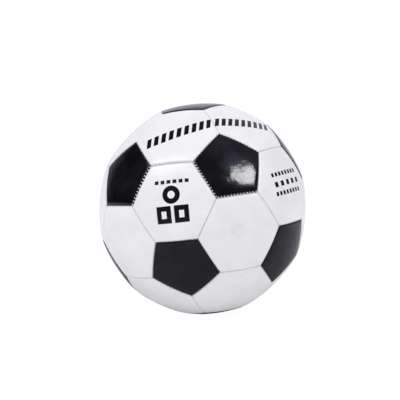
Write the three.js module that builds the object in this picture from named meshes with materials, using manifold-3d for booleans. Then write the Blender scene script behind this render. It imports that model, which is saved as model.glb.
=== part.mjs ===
// A hand-stitched soccer ball: thirty-two panels sewn edge to edge over an inflated rubber bladder.
// Twelve black five-sided panels and twenty white six-sided ones make the cover. Each panel is a shallow
// dish whose rim is turned inward, as a sewn margin is. Under the seams lies the stitching thread, and
// inside it the bladder, with its rubber valve behind a hole in one white panel.
// Millimetres, +Z up, origin at the centre of the ball.

import * as THREE from "three";
import { mergeVertices } from "three/addons/utils/BufferGeometryUtils.js";
import Module from "manifold-3d";

const wasm = await Module();
wasm.setup();

// ---- The ball ----
const RADIUS = 110.3; // of the round ball that the cover would make without its stiffness
const FLATNESS = 0.3; // how far the stiff panels keep flat: 0 is a round ball, 1 a ball of flat faces
const FLAT_SIZE = 0.95; // mean radius of the flat-faced ball, as a share of its corners' distance
const ROUNDNESS = 0.989; // width over height: the inflated cover stands slightly taller than wide
const YAW = THREE.MathUtils.degToRad(2.5); // turn of the panel pattern about the top black panel
const LEAN = THREE.MathUtils.degToRad(6.7); // how far the top black panel leans from the vertical, towards -X

// ---- The cover's panels ----
const LEATHER = 2.2; // thickness of the laminated cover
const SEAM_GAP = 0.36; // clear space between two neighbouring panels
const MARGIN_DEPTH = 6.2; // how far below the crown the turned-in rim ends
const MARGIN_THICKNESS = 1.8; // thickness of the turned-in rim
const EDGE_STEPS = 3; // straight steps along one side of a panel
const SHOULDER = [
  // [distance in from the seam, drop below the crown]
  [0, 1.6],
  [1.8, 0.7],
  [8, 0.3],
  [20, 0.1],
];
const LINING = [
  // [distance in from the seam, drop below the crown] of the panel's inner side
  [0, MARGIN_DEPTH],
  [MARGIN_THICKNESS, MARGIN_DEPTH],
  [MARGIN_THICKNESS, LEATHER + 0.7],
  [20, LEATHER + 0.1],
];

// ---- The stitching thread ----
const THREAD_DEPTH = 6.6; // below the crown, just under the rims
const THREAD_HEIGHT = 1.0;
const THREAD_HALF_WIDTH = 1.6;

// ---- The bladder and its valve ----
const BLADDER_RADIUS = 101.7;
const BLADDER_WALL = 1.0;
const BLADDER_HOLE_RADIUS = 5.3;
const BLADDER_SIDES = 24;
const BLADDER_ROWS = 14;
const VALVE_HOLE_RADIUS = 5.2; // through the white panel that covers the valve
const VALVE_SIDES = 24;
const VALVE_TOP = 107.7; // the rubber face, just below the cover's crown
const VALVE_FOOT = 91;
const STEM_RADIUS = 4.6;
const STEM_BORE_RADIUS = 2.6;
const CORE_SEAT_RADIUS = 3.6;
const CORE_SEAT_DEPTH = 1.6;
const FLANGE_RADIUS = 13;
const FLANGE_BASE = 102.3;
const FLANGE_TOP = 103.4;
const CORE_TOP = 107.5;
const CORE_FOOT = 93;
const CORE_HEAD_RADIUS = 3.2;
const CORE_HEAD_HEIGHT = 1.1;
const CORE_RADIUS = 2.2;
const NEEDLE_RADIUS = 0.6;
const NEEDLE_DEPTH = 4;
const PATCH_RADIUS = 18;
const PATCH_BASE = 103.9;
const PATCH_TOP = 104.6;
const SAME_POINT = 1e-3; // points closer than this are one
const BEHIND = new THREE.Vector3(0.25, 0.9, 0.3); // the side of the ball that carries the valve

// ---- Finishes ----
const whiteCover = new THREE.MeshStandardMaterial({ color: 0xf0f0f2, roughness: 0.3, metalness: 0 });
const blackCover = new THREE.MeshStandardMaterial({ color: 0x0e0d10, roughness: 0.25, metalness: 0 });
const threadFinish = new THREE.MeshStandardMaterial({ color: 0xe2e2de, roughness: 0.8, metalness: 0 });
const bladderRubber = new THREE.MeshStandardMaterial({ color: 0x1a1a1a, roughness: 0.6, metalness: 0 });
const valveRubber = new THREE.MeshStandardMaterial({ color: 0x2a2a2c, roughness: 0.55, metalness: 0 });
const patchCloth = new THREE.MeshStandardMaterial({ color: 0xd8d2c4, roughness: 0.9, metalness: 0 });

// ---- The panel pattern: an icosahedron with its corners cut off a third of the way along each edge ----

// The icosahedron's corners, one of them at the top: each is the middle of a black panel.
function blackCentres() {
  const ringHeight = 1 / Math.sqrt(5);
  const ringRadius = 2 / Math.sqrt(5);
  const step = (2 * Math.PI) / 5;
  const onRing = (angle, height) =>
    new THREE.Vector3(ringRadius * Math.cos(angle), ringRadius * Math.sin(angle), height);
  const centres = [new THREE.Vector3(0, 0, 1)];
  for (let k = 0; k < 5; k += 1) centres.push(onRing(k * step, ringHeight));
  for (let k = 0; k < 5; k += 1) centres.push(onRing((k + 0.5) * step, -ringHeight));
  centres.push(new THREE.Vector3(0, 0, -1));
  return centres;
}

// Two corners of the icosahedron are neighbours when the cosine between them is one over the root of five.
function areNeighbours(a, b) {
  return Math.abs(a.dot(b) - 1 / Math.sqrt(5)) < SAME_POINT;
}

// The corner of a panel that lies a third of the way from one black centre to its neighbour.
function panelCorner(from, to) {
  return from.clone().multiplyScalar(2).add(to).divideScalar(3);
}

// Puts a panel's corners in order round its centre, anticlockwise seen from outside.
function inOrder(centre, corners) {
  const axis = centre.clone().normalize();
  const across = corners[0].clone().addScaledVector(axis, -corners[0].dot(axis)).normalize();
  const up = axis.clone().cross(across);
  const angle = (p) => Math.atan2(p.dot(up), p.dot(across));
  return corners.slice().sort((a, b) => angle(a) - angle(b));
}

function blackOutlines() {
  const centres = blackCentres();
  return centres.map((centre) => {
    const neighbours = centres.filter((other) => areNeighbours(centre, other));
    return inOrder(centre, neighbours.map((other) => panelCorner(centre, other)));
  });
}

function whiteOutlines() {
  const centres = blackCentres();
  const outlines = [];
  for (let i = 0; i < centres.length; i += 1) {
    for (let j = i + 1; j < centres.length; j += 1) {
      for (let k = j + 1; k < centres.length; k += 1) {
        const [a, b, c] = [centres[i], centres[j], centres[k]];
        if (!areNeighbours(a, b) || !areNeighbours(b, c) || !areNeighbours(a, c)) continue;
        const pairs = [[a, b], [b, a], [b, c], [c, b], [a, c], [c, a]];
        const middle = a.clone().add(b).add(c);
        outlines.push(inOrder(middle, pairs.map(([from, to]) => panelCorner(from, to))));
      }
    }
  }
  return outlines;
}

function middleOf(outline) {
  const sum = new THREE.Vector3();
  for (const corner of outline) sum.add(corner);
  return sum.divideScalar(outline.length);
}

// ---- Meshes from rings of points ----

// Joins rings of equal length into one surface. A ring of one point is a pole. Seen with the first ring in
// the middle, the rings run anticlockwise and the faces point towards the viewer.
function skinRings(rings, closeUp) {
  const positions = [];
  const triangle = (a, b, c) => {
    for (const p of [a, b, c]) positions.push(p.x, p.y, p.z);
  };
  const last = closeUp ? rings.length : rings.length - 1;
  for (let r = 0; r < last; r += 1) {
    const inner = rings[r];
    const outer = rings[(r + 1) % rings.length];
    const count = Math.max(inner.length, outer.length);
    for (let k = 0; k < count; k += 1) {
      const next = (k + 1) % count;
      if (inner.length === 1) {
        triangle(inner[0], outer[k], outer[next]);
      } else if (outer.length === 1) {
        triangle(inner[k], outer[0], inner[next]);
      } else {
        triangle(inner[k], outer[k], outer[next]);
        triangle(inner[k], outer[next], inner[next]);
      }
    }
  }
  return geometryOf(positions);
}

function geometryOf(positions) {
  const geometry = new THREE.BufferGeometry();
  geometry.setAttribute("position", new THREE.Float32BufferAttribute(positions, 3));
  const merged = mergeVertices(geometry, SAME_POINT);
  merged.computeVertexNormals();
  return merged;
}

// ---- Cover panels, each built round its own axis +Z ----

// Height of the panel's plane and distance from its middle to a side, for a pattern of unit size.
function planeOf(outline) {
  const middle = middleOf(outline);
  const side = outline[0].clone().add(outline[1]).multiplyScalar(0.5);
  return { height: middle.length(), apothem: side.distanceTo(middle), corner: outline[0].length() };
}

// Distance from the ball's centre to the crown over a point of a panel's plane: part round, part flat.
function crownRadius(point, plane) {
  const flat = point.length() / (FLAT_SIZE * plane.corner);
  return RADIUS * (1 - FLATNESS + FLATNESS * flat);
}

// A ring of points round a panel of so many sides, at a distance in from the seam and a drop below the crown.
function panelRing(sides, plane, inset, drop) {
  const millimetre = plane.corner / RADIUS;
  const reach = plane.apothem - inset * millimetre;
  const cornerReach = reach / Math.cos(Math.PI / sides);
  const corner = (k) =>
    new THREE.Vector3(
      cornerReach * Math.cos((2 * Math.PI * k) / sides),
      cornerReach * Math.sin((2 * Math.PI * k) / sides),
      plane.height,
    );
  const ring = [];
  for (let side = 0; side < sides; side += 1) {
    for (let step = 0; step < EDGE_STEPS; step += 1) {
      const point = corner(side).lerp(corner(side + 1), step / EDGE_STEPS);
      ring.push(point.setLength(crownRadius(point, plane) - drop));
    }
  }
  return ring;
}

// The point of a panel's axis at a drop below the crown.
function axisPoint(plane, drop) {
  const point = new THREE.Vector3(0, 0, plane.height);
  return point.setLength(crownRadius(point, plane) - drop);
}

// A small round hole's rim, with one point for each point of the panel's rings.
function holeRing(sides, plane, radius, drop) {
  const count = sides * EDGE_STEPS;
  const height = Math.sqrt(axisPoint(plane, drop).z ** 2 - radius ** 2);
  const ring = [];
  for (let k = 0; k < count; k += 1) {
    const angle = (2 * Math.PI * k) / count;
    ring.push(new THREE.Vector3(radius * Math.cos(angle), radius * Math.sin(angle), height));
  }
  return ring;
}

// The dish: from the middle out over the crown, down the rim, and back along the lining.
function panelGeometry(sides, plane, holeRadius) {
  const ring = (inset, drop) => panelRing(sides, plane, inset + SEAM_GAP / 2, drop);
  const crown = SHOULDER.map(([inset, drop]) => ring(inset, drop)).reverse();
  const lining = LINING.map(([inset, drop]) => ring(inset, drop));
  if (holeRadius) {
    const rim = (drop) => holeRing(sides, plane, holeRadius, drop);
    return skinRings([rim(0), ...crown, ...lining, rim(LEATHER)], true);
  }
  const pole = (drop) => [axisPoint(plane, drop)];
  return skinRings([pole(0), ...crown, ...lining, pole(LEATHER)], false);
}

// Stands a panel in its place: its axis through the middle of the outline, its first corner at the first corner.
function placePanel(mesh, outline) {
  const axis = middleOf(outline).normalize();
  const across = outline[0].clone().addScaledVector(axis, -outline[0].dot(axis)).normalize();
  const up = axis.clone().cross(across);
  mesh.setRotationFromMatrix(new THREE.Matrix4().makeBasis(across, up, axis));
  return mesh;
}

// ---- The stitching thread: one continuous band that follows every seam under the rims ----
function threadGeometry(outlines) {
  const positions = [];
  const quad = (a, b, c, d) => {
    for (const p of [a, b, c, a, c, d]) positions.push(p.x, p.y, p.z);
  };
  const top = THREAD_DEPTH;
  const foot = THREAD_DEPTH + THREAD_HEIGHT;
  for (const outline of outlines) {
    const plane = planeOf(outline);
    const middle = middleOf(outline);
    const shrink = 1 - (THREAD_HALF_WIDTH * plane.corner) / (RADIUS * plane.apothem);
    for (let side = 0; side < outline.length; side += 1) {
      const start = outline[side];
      const end = outline[(side + 1) % outline.length];
      for (let step = 0; step < EDGE_STEPS; step += 1) {
        const seam = [step, step + 1].map((s) => start.clone().lerp(end, s / EDGE_STEPS));
        const window = seam.map((p) => middle.clone().lerp(p, shrink));
        const at = (p, drop) => p.clone().setLength(crownRadius(p, plane) - drop);
        quad(at(window[0], top), at(seam[0], top), at(seam[1], top), at(window[1], top));
        quad(at(seam[0], foot), at(window[0], foot), at(window[1], foot), at(seam[1], foot));
        quad(at(window[0], foot), at(window[0], top), at(window[1], top), at(window[1], foot));
      }
    }
  }
  return geometryOf(positions);
}

// ---- Bladder and valve, built round the valve's axis +Z ----

// A closed mesh as a solid that can be joined and cut.
function solidOf(geometry) {
  const plain = new THREE.BufferGeometry();
  plain.setAttribute("position", geometry.getAttribute("position"));
  plain.setIndex(geometry.getIndex());
  const merged = mergeVertices(plain, SAME_POINT);
  return new wasm.Manifold(
    new wasm.Mesh({
      numProp: 3,
      vertProperties: merged.attributes.position.array,
      triVerts: new Uint32Array(merged.index.array),
    }),
  );
}

function geometryFromSolid(solid) {
  const made = solid.getMesh();
  const geometry = new THREE.BufferGeometry();
  geometry.setAttribute("position", new THREE.BufferAttribute(new Float32Array(made.vertProperties), 3));
  geometry.setIndex(new THREE.BufferAttribute(new Uint32Array(made.triVerts), 1));
  geometry.computeVertexNormals();
  return geometry;
}

function sphereSolid(radius) {
  const sphere = new THREE.SphereGeometry(radius, BLADDER_SIDES, BLADDER_ROWS);
  return solidOf(sphere.rotateX(Math.PI / 2));
}

// A thin hollow sphere, open where the valve's stem goes through it.
function bladderGeometry() {
  const hole = new THREE.CylinderGeometry(BLADDER_HOLE_RADIUS, BLADDER_HOLE_RADIUS, RADIUS, VALVE_SIDES);
  const cutter = solidOf(hole.rotateX(Math.PI / 2).translate(0, 0, RADIUS));
  const shell = sphereSolid(BLADDER_RADIUS).subtract(sphereSolid(BLADDER_RADIUS - BLADDER_WALL));
  return geometryFromSolid(shell.subtract(cutter));
}

// Turns a closed outline of [radius, height] points about +Z.
function turned(outline) {
  const points = outline.map(([radius, height]) => new THREE.Vector2(radius, height));
  return new THREE.LatheGeometry(points, VALVE_SIDES).rotateX(Math.PI / 2);
}

// The valve's housing: a stem with a flange that is bonded to the bladder, and a stepped bore for the core.
function valveBodyGeometry() {
  return turned([
    [STEM_BORE_RADIUS, VALVE_FOOT],
    [STEM_RADIUS, VALVE_FOOT],
    [STEM_RADIUS, FLANGE_BASE],
    [FLANGE_RADIUS, FLANGE_BASE],
    [FLANGE_RADIUS, FLANGE_TOP],
    [STEM_RADIUS, FLANGE_TOP],
    [STEM_RADIUS, VALVE_TOP],
    [CORE_SEAT_RADIUS, VALVE_TOP],
    [CORE_SEAT_RADIUS, VALVE_TOP - CORE_SEAT_DEPTH],
    [STEM_BORE_RADIUS, VALVE_TOP - CORE_SEAT_DEPTH],
    [STEM_BORE_RADIUS, VALVE_FOOT],
  ]);
}

// The core: a headed rubber plug with a blind needle hole.
function valveCoreGeometry() {
  return turned([
    [0, CORE_FOOT],
    [CORE_RADIUS, CORE_FOOT],
    [CORE_RADIUS, CORE_TOP - CORE_HEAD_HEIGHT],
    [CORE_HEAD_RADIUS, CORE_TOP - CORE_HEAD_HEIGHT],
    [CORE_HEAD_RADIUS, CORE_TOP],
    [NEEDLE_RADIUS, CORE_TOP],
    [NEEDLE_RADIUS, CORE_TOP - NEEDLE_DEPTH],
    [0, CORE_TOP - NEEDLE_DEPTH],
  ]);
}

// A cloth ring that keeps the valve's hole in the cover from tearing.
function valvePatchGeometry() {
  return turned([
    [VALVE_HOLE_RADIUS, PATCH_BASE],
    [PATCH_RADIUS, PATCH_BASE],
    [PATCH_RADIUS, PATCH_TOP],
    [VALVE_HOLE_RADIUS, PATCH_TOP],
    [VALVE_HOLE_RADIUS, PATCH_BASE],
  ]);
}

// ---- Assembly ----
function named(name, geometry, material) {
  const mesh = new THREE.Mesh(geometry, material);
  mesh.name = name;
  return mesh;
}

const stitched = new THREE.Group(); // everything in the panel pattern's own frame
stitched.rotation.set(0, -LEAN, YAW);

const black = blackOutlines();
const white = whiteOutlines();
const blackGeometry = panelGeometry(5, planeOf(black[0]), 0);
const whiteGeometry = panelGeometry(6, planeOf(white[0]), 0);
const valvePanelGeometry = panelGeometry(6, planeOf(white[0]), VALVE_HOLE_RADIUS);

const twoDigits = (number) => String(number).padStart(2, "0");
black.forEach((outline, index) => {
  const mesh = named(`black_panel_${twoDigits(index + 1)}`, blackGeometry, blackCover);
  stitched.add(placePanel(mesh, outline));
});

const nearness = (outline) => middleOf(outline).normalize().dot(BEHIND);
const valveOutline = white.reduce((best, outline) => (nearness(outline) > nearness(best) ? outline : best));
stitched.add(placePanel(named("white_panel_valve", valvePanelGeometry, whiteCover), valveOutline));
white
  .filter((outline) => outline !== valveOutline)
  .forEach((outline, index) => {
    const mesh = named(`white_panel_${twoDigits(index + 1)}`, whiteGeometry, whiteCover);
    stitched.add(placePanel(mesh, outline));
  });

stitched.add(named("stitching_thread", threadGeometry([...black, ...white]), threadFinish));

const valveParts = [
  named("bladder", bladderGeometry(), bladderRubber),
  named("valve_body", valveBodyGeometry(), valveRubber),
  named("valve_core", valveCoreGeometry(), valveRubber),
  named("valve_patch", valvePatchGeometry(), patchCloth),
];
for (const mesh of valveParts) stitched.add(placePanel(mesh, valveOutline));

const ball = new THREE.Group(); // the inflated ball, pulled slightly oval
ball.scale.set(ROUNDNESS, ROUNDNESS, 1);
ball.add(stitched);

export default ball;
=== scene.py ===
"""The looks of a hand-stitched, inflated soccer ball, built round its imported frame.

The cover is thirty-two soft panels of glossy laminated plastic whose edges roll down into the seams. White
thread crosses each seam in short stitches and draws a small pucker into both panels. A rubber valve sits in
a round hole of one white panel. Lengths are metres; MM turns millimetres into metres.
"""

import logging
import math
from dataclasses import dataclass, field, replace
from enum import Enum
from itertools import combinations
from typing import Any, Optional, Sequence, Union

import bpy
import numpy as np
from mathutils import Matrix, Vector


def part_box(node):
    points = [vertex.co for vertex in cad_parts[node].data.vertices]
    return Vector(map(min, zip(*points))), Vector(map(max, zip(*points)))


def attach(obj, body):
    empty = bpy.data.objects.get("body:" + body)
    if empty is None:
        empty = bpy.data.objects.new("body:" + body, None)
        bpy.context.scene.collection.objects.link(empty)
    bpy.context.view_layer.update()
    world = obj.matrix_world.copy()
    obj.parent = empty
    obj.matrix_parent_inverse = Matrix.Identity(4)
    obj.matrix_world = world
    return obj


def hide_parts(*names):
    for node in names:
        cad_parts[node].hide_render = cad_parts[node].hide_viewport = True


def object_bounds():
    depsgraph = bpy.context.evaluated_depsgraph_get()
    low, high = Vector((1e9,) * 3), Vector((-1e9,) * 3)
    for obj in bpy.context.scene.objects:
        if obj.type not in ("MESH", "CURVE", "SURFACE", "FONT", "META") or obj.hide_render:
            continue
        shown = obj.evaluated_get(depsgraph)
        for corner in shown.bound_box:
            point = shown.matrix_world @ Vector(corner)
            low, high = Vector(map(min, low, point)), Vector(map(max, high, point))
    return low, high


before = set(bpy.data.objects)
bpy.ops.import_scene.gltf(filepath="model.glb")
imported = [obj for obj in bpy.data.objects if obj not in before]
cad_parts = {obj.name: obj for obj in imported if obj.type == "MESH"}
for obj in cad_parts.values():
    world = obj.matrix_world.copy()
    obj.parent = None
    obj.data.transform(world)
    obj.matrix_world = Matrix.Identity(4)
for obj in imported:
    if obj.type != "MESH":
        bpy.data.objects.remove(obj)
CAD_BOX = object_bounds()

LOG = logging.getLogger("ball")
MM = 0.001
BODY = "root"
SEED = 20
SAME = 1e-6  # two numbers closer than this are one


# ---------------------------------------------------------------------------------------------------------
# Shader maths
# ---------------------------------------------------------------------------------------------------------


class Value:
    """A number that varies over a surface. Arithmetic on it adds Math nodes."""

    def __init__(self, tree: "ShaderTree", socket: bpy.types.NodeSocket) -> None:
        """Wraps a socket.

        Args:
            tree: The tree that the socket belongs to.
            socket: The output that carries the number.
        """
        self.tree = tree
        self.socket = socket

    def _math(self, operation: str, *operands: "Number", clamp: bool = False) -> "Value":
        """Adds one Math node.

        Args:
            operation: The node's operation.
            operands: Its inputs, in order.
            clamp: Whether the answer is held between 0 and 1.

        Returns:
            The node's output.
        """
        settings = {"operation": operation, "use_clamp": clamp}
        node = self.tree.node("ShaderNodeMath", settings, dict(enumerate(operands)))
        return Value(self.tree, node.outputs[0])

    def __add__(self, other: "Number") -> "Value":
        """Sum."""
        return self._math("ADD", self, other)

    def __radd__(self, other: "Number") -> "Value":
        """Sum with a plain number first."""
        return self._math("ADD", other, self)

    def __sub__(self, other: "Number") -> "Value":
        """Difference."""
        return self._math("SUBTRACT", self, other)

    def __rsub__(self, other: "Number") -> "Value":
        """Difference with a plain number first."""
        return self._math("SUBTRACT", other, self)

    def __mul__(self, other: "Number") -> "Value":
        """Product."""
        return self._math("MULTIPLY", self, other)

    def __rmul__(self, other: "Number") -> "Value":
        """Product with a plain number first."""
        return self._math("MULTIPLY", other, self)

    def __truediv__(self, other: "Number") -> "Value":
        """Quotient."""
        return self._math("DIVIDE", self, other)

    def __abs__(self) -> "Value":
        """The number without its sign."""
        return self._math("ABSOLUTE", self)

    def squared(self) -> "Value":
        """The number times itself."""
        return self._math("MULTIPLY", self, self)

    def root(self) -> "Value":
        """The square root."""
        return self._math("SQRT", self)

    def exponential(self) -> "Value":
        """The natural exponential."""
        return self._math("EXPONENT", self)

    def part(self) -> "Value":
        """The part after the point, always from 0 to 1."""
        return self._math("FRACT", self)

    def at_least(self, other: "Number") -> "Value":
        """The larger of two."""
        return self._math("MAXIMUM", self, other)

    def held(self) -> "Value":
        """The number held between 0 and 1."""
        return self._math("ADD", self, 0.0, clamp=True)


Number = Union[Value, float]
Colour = tuple[float, float, float]


class ShaderTree:
    """One node tree, with a single method that adds any node."""

    def __init__(self, tree: bpy.types.NodeTree) -> None:
        """Empties the tree.

        Args:
            tree: The material's or world's node tree.
        """
        self.tree = tree
        tree.nodes.clear()

    def node(self, kind: str, settings: dict[str, Any], inputs: dict[Any, Any]) -> bpy.types.Node:
        """Adds a node, sets its settings, then fills its sockets.

        Args:
            kind: The node's type.
            settings: Attributes of the node, such as a Math node's operation.
            inputs: Socket name or number to a plain value, a Value or a socket.

        Returns:
            The node.
        """
        made = self.tree.nodes.new(kind)
        for key, value in settings.items():
            setattr(made, key, value)
        for key, value in inputs.items():
            socket = made.inputs[key]
            if isinstance(value, Value):
                self.tree.links.new(value.socket, socket)
            elif isinstance(value, bpy.types.NodeSocket):
                self.tree.links.new(value, socket)
            else:
                socket.default_value = value
        return made

    def value(self, socket: bpy.types.NodeSocket) -> Value:
        """A socket as a number that arithmetic works on."""
        return Value(self, socket)

    def coordinates(self) -> bpy.types.NodeSocket:
        """The surface's place in the ball's own frame."""
        return self.node("ShaderNodeTexCoord", {}, {}).outputs["Object"]

    def noise(self, size: float, detail: float = 2.0, roughness: float = 0.5, warp: float = 0.0) -> Value:
        """Smooth random mottling.

        Args:
            size: The width of one blotch, in metres.
            detail: How many finer layers are added.
            roughness: How strong the finer layers are.
            warp: How far the blotches are pulled out of shape.

        Returns:
            A number near 0.5.
        """
        made = self.node(
            "ShaderNodeTexNoise",
            {"noise_dimensions": "3D"},
            {
                "Vector": self.coordinates(),
                "Scale": 1.0 / size,
                "Detail": detail,
                "Roughness": roughness,
                "Distortion": warp,
            },
        )
        return Value(self, made.outputs["Fac"])

    def mix(self, factor: Number, first: Any, second: Any) -> bpy.types.NodeSocket:
        """Mixes two colours.

        Args:
            factor: 0 gives the first colour and 1 the second.
            first: A colour or a colour socket.
            second: A colour or a colour socket.

        Returns:
            The mixed colour.
        """
        opaque = [c if isinstance(c, bpy.types.NodeSocket) else (*c, 1.0) for c in (first, second)]
        made = self.node(
            "ShaderNodeMix",
            {"data_type": "RGBA", "blend_type": "MIX"},
            {0: factor, 6: opaque[0], 7: opaque[1]},
        )
        return made.outputs[2]

    def bump(
        self, height: Value, distance: float, under: Optional[bpy.types.NodeSocket] = None
    ) -> bpy.types.NodeSocket:
        """Turns a height into a normal.

        Args:
            height: The height, as a share of the distance.
            distance: The height that 1 stands for, in metres.
            under: The normal that this one is added to.

        Returns:
            The normal.
        """
        inputs: dict[Any, Any] = {"Height": height, "Distance": distance, "Strength": 1.0}
        if under is not None:
            inputs["Normal"] = under
        return self.node("ShaderNodeBump", {}, inputs).outputs["Normal"]


def blank_material(name: str) -> tuple[bpy.types.Material, ShaderTree]:
    """Makes a material without any nodes.

    Args:
        name: The material's name.

    Returns:
        The material and its tree.
    """
    material = bpy.data.materials.new(name)
    material.use_nodes = True
    return material, ShaderTree(material.node_tree)


# ---------------------------------------------------------------------------------------------------------
# Print: plain shapes of ink on a panel
# ---------------------------------------------------------------------------------------------------------


@dataclass(frozen=True)
class InkPlane:
    """A panel's flat frame for print: x to the right and y up, in millimetres from its middle.

    edge is the width over which ink fades at its outline.
    """

    x: Value
    y: Value
    edge: float = 0.3

    def cover(self, distance: Value) -> Value:
        """Ink inside an outline: 1 where the distance to the outline is negative, with a soft edge."""
        return (0.5 - distance / self.edge).held()


def bar_distance(x: Value, start: float, count: int, width: float, gap: float) -> Value:
    """Distance to the nearest of a row of bars: x is folded into one bar and its gap, and held to the row.

    Args:
        x: The place along the row.
        start: Where the first bar starts.
        count: How many bars there are.
        width: The width of a bar.
        gap: The space between two bars.

    Returns:
        The distance, negative inside a bar.
    """
    pitch = width + gap
    length = count * pitch - gap
    folded = ((x - start) / pitch).part() * pitch
    across = abs(folded - width / 2) - width / 2
    along = abs(x - (start + length / 2)) - length / 2
    return across.at_least(along)


@dataclass(frozen=True)
class BlockRow:
    """A level row of equal blocks."""

    start: float
    count: int
    level: float
    width: float
    height: float
    gap: float

    def ink(self, plane: InkPlane) -> Value:
        """Distance to the nearest block: the larger of that along the row and that above or below it.

        Args:
            plane: The panel's print frame.

        Returns:
            The ink's cover.
        """
        across = bar_distance(plane.x, self.start, self.count, self.width, self.gap)
        upright = abs(plane.y - self.level) - self.height / 2
        return plane.cover(across.at_least(upright))


@dataclass(frozen=True)
class Ring:
    """A round ring, or a disc when its stroke equals its radius."""

    x: float
    y: float
    radius: float
    stroke: float

    def ink(self, plane: InkPlane) -> Value:
        """Distance from the middle of the stroke, less half the stroke.

        Args:
            plane: The panel's print frame.

        Returns:
            The ink's cover.
        """
        away = ((plane.x - self.x).squared() + (plane.y - self.y).squared()).root()
        return plane.cover(abs(away - (self.radius - self.stroke / 2)) - self.stroke / 2)


@dataclass(frozen=True)
class Frame:
    """An upright rectangular frame."""

    x: float
    y: float
    width: float
    height: float
    stroke: float

    def ink(self, plane: InkPlane) -> Value:
        """Distance to the box's outline, folded about the middle of the stroke.

        Args:
            plane: The panel's print frame.

        Returns:
            The ink's cover.
        """
        across = abs(plane.x - self.x) - self.width / 2
        upright = abs(plane.y - self.y) - self.height / 2
        outside = across.at_least(upright)
        return plane.cover(abs(outside + self.stroke / 2) - self.stroke / 2)


@dataclass(frozen=True)
class SlantedBand:
    """A gently bowed band of slanted bars that runs on over the seam into the next panel.

    seam is where the next panel starts, slope is how far a bar leans for its height, and sag and bow shape
    the band's middle line.
    """

    start: float
    count: int
    seam: float
    width: float = 4.7
    gap: float = 2.9
    height: float = 12.5
    slope: float = 0.45
    sag: float = -5.0
    bow: float = 0.0021

    def ink(self, plane: InkPlane) -> Value:
        """Bars along a parabola: its level is sag plus bow times the squared distance from the seam.

        Args:
            plane: The panel's print frame.

        Returns:
            The ink's cover.
        """
        level = plane.y - ((plane.x - self.seam).squared() * self.bow + self.sag)
        sheared = plane.x - level * self.slope
        across = bar_distance(sheared, self.start, self.count, self.width, self.gap)
        upright = abs(level) - self.height / 2
        return plane.cover(across.at_least(upright))


@dataclass(frozen=True)
class Smudge:
    """A faint, cloudy dirty patch."""

    x: float
    y: float
    radius: float
    strength: float
    blotch: float = 5 * MM

    def ink(self, plane: InkPlane) -> Value:
        """Strength that falls off with the squared distance from the middle, broken up by mottling.

        Args:
            plane: The panel's print frame.

        Returns:
            The dirt's cover.
        """
        away = ((plane.x - self.x).squared() + (plane.y - self.y).squared()) / self.radius**2
        cloud = ((plane.x.tree.noise(self.blotch, detail=3, roughness=0.6) - 0.35) * 3.0).held()
        return (1.0 - away).held() * cloud * self.strength


Mark = Union[BlockRow, Ring, Frame, SlantedBand, Smudge]


# ---------------------------------------------------------------------------------------------------------
# Finishes
# ---------------------------------------------------------------------------------------------------------

PRINT_MAP = "panel_plane"
SEAM_DISTANCE = "seam_distance"


@dataclass(frozen=True)
class CoverFinish:
    """Glossy laminated plastic with a faint orange peel, soft mottling and a darker line along the seams.

    The seam line is partly dust and partly painted shade in the grooves. blotch, scuff, wave and peel are
    the widths of one blotch, one scuff, one wave and one pore of the peel.
    """

    name: str
    slot: str
    # The colour at the seams: partly dust, partly painted shade in the grooves.
    colour: Colour
    shade: Colour
    seam_dust_and_shade_colour: Colour
    roughness: float
    wave_height: float
    marks: tuple[Mark, ...] = ()
    ink: Colour = (0.0035, 0.0035, 0.0042)
    blotch: float = 22 * MM
    scuff: float = 3.5 * MM
    wave: float = 11 * MM
    peel: float = 1.3 * MM
    peel_height: float = 0.010 * MM
    # Width, strength and extra roughness of the seam line of dust and painted shade.
    dust_and_shade_width: float = 0.6 * MM
    dust_and_shade_cover: float = 0.75
    dust_and_shade_roughness: float = 0.2

    def build(self) -> bpy.types.Material:
        """Makes the material: dust and painted shade fall off exponentially with the distance from the seam.

        Returns:
            The material.
        """
        material, tree = blank_material(self.name)
        mottling = tree.noise(self.blotch, detail=4, roughness=0.55, warp=0.4)
        scuffing = tree.noise(self.scuff, detail=5, roughness=0.62)
        distance = tree.node("ShaderNodeAttribute", {"attribute_name": SEAM_DISTANCE}, {}).outputs["Fac"]
        # Dust and painted shade along the seams: darker colour and higher roughness close to the seam.
        dust_and_shade = (tree.value(distance) / -self.dust_and_shade_width).exponential().held()
        colour = tree.mix(((mottling - 0.42) * 3.0).held(), self.colour, self.shade)
        colour = tree.mix(dust_and_shade * self.dust_and_shade_cover, colour, self.seam_dust_and_shade_colour)
        unevenness = (mottling - 0.5) * 0.12 + (scuffing - 0.5) * 0.1
        roughness = self.roughness + unevenness + dust_and_shade * self.dust_and_shade_roughness
        if self.marks:
            colour = tree.mix(self._ink(tree), colour, self.ink)
        normal = tree.bump(tree.noise(self.peel), self.peel_height)
        normal = tree.bump(tree.noise(self.wave, detail=3, warp=0.6), self.wave_height, under=normal)
        shader = tree.node(
            "ShaderNodeBsdfPrincipled",
            {},
            {"Base Color": colour, "Roughness": roughness, "Normal": normal, "IOR": 1.5},
        )
        tree.node("ShaderNodeOutputMaterial", {}, {"Surface": shader.outputs["BSDF"]})
        return material

    def _ink(self, tree: ShaderTree) -> Value:
        """The cover of all the marks together.

        Args:
            tree: The material's tree.

        Returns:
            1 where there is ink.
        """
        uv = tree.node("ShaderNodeUVMap", {"uv_map": PRINT_MAP}, {}).outputs["UV"]
        split = tree.node("ShaderNodeSeparateXYZ", {}, {"Vector": uv})
        x, y = (tree.value(split.outputs[k]) / MM for k in ("X", "Y"))
        plane = InkPlane(x, y)
        covered = self.marks[0].ink(plane)
        for mark in self.marks[1:]:
            covered = covered.at_least(mark.ink(plane))
        return covered


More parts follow.
